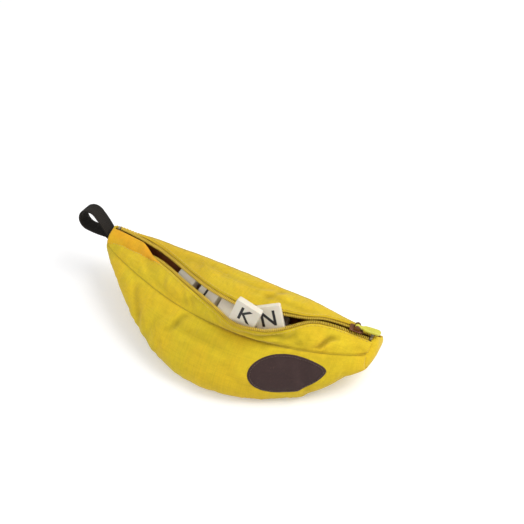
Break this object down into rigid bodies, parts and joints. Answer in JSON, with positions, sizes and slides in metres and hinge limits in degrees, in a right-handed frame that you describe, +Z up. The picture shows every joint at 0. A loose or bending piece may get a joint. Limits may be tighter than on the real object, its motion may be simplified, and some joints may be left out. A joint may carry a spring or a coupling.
{
  "type": "travel word tile game case",
  "caption": "Curved four-panel cloth pouch with a zip along its top, a webbing loop at one end and letter tiles inside, resting on its flattened underside.",
  "frame": {"origin": "on the flat underside, below the middle of the cloth body", "axes": "+X from the stem end with the webbing loop to the tip where the zip ends, +Y to the back, +Z up"},
  "size_m": [0.2511, 0.0857, 0.0673],
  "materials": {
    "cloth": "woven cotton canvas",
    "zip_tape": "woven polyester tape",
    "zip_teeth": "nylon coil",
    "zip_metal": "pressed staple",
    "slider": "satin paint",
    "pull": "satin",
    "patch": "dense printed cloth",
    "webbing": "ribbed webbing",
    "tile": "satin moulded plastic",
    "letter_ink": "hot-stamped ink"
  },
  "bodies": {
    "pouch": {"front_lower_panel": "cloth", "back_lower_panel": "cloth", "front_upper_panel": "cloth", "back_upper_panel": "cloth", "stem_end_patch": "cloth", "tip_end_patch": "cloth", "front_side_welt": "cloth", "back_side_welt": "cloth", "zip_end_flap": "cloth", "oval_patch": "patch", "front_zip_tape": "zip_tape", "back_zip_tape": "zip_tape", "front_zip_teeth": "zip_teeth", "back_zip_teeth": "zip_teeth", "zip_bottom_stop": "zip_metal", "zip_top_stops": "zip_metal", "loop_root": "webbing", "mouth_tile_1": "tile", "mouth_tile_2": "tile", "mouth_tile_3": "tile", "tile_layer_1": "tile", "tile_layer_2": "tile", "tile_layer_3": "tile", "tile_layer_4": "tile", "tile_layer_5": "tile", "tile_layer_6": "tile"},
    "zip_slider": {"zip_slider": "slider"},
    "zip_pull": {"zip_pull_tab": "pull"},
    "webbing_loop": {"webbing_loop": "webbing"},
    "letter_tile_4": {"mouth_tile_4": "tile"},
    "letter_tile_5": {"mouth_tile_5": "tile"}
  },
  "joints": [
    {"name": "zip_travel", "type": "hinge", "parent": "pouch", "child": "zip_slider", "pos_m": [0.1211, -0.02874, 0.06253], "axis": [0.1834, 0.4653, 0.866], "range_deg": [0, 19]},
    {"name": "pull_swing", "type": "hinge", "parent": "zip_slider", "child": "zip_pull", "pos_m": [0.0952, 0.03394, 0.03988], "axis": [-0.2742, 0.958, -0.0838], "range_deg": [-165, 3]},
    {"name": "loop_flex", "type": "hinge", "parent": "pouch", "child": "webbing_loop", "pos_m": [-0.11297, 0.03409, 0.03536], "axis": [0.0681, -0.9773, 0.2004], "range_deg": [-30, 30], "stiffness_Nm_per_rad": 0.01},
    {"name": "tile_4_lift", "type": "slide", "parent": "pouch", "child": "letter_tile_4", "axis": [-0.01, 0.1905, 0.9816], "range_m": [0, 0.04]},
    {"name": "tile_5_lift", "type": "slide", "parent": "pouch", "child": "letter_tile_5", "axis": [-0.1355, 0.4169, 0.8988], "range_m": [0, 0.04]}
  ]
}
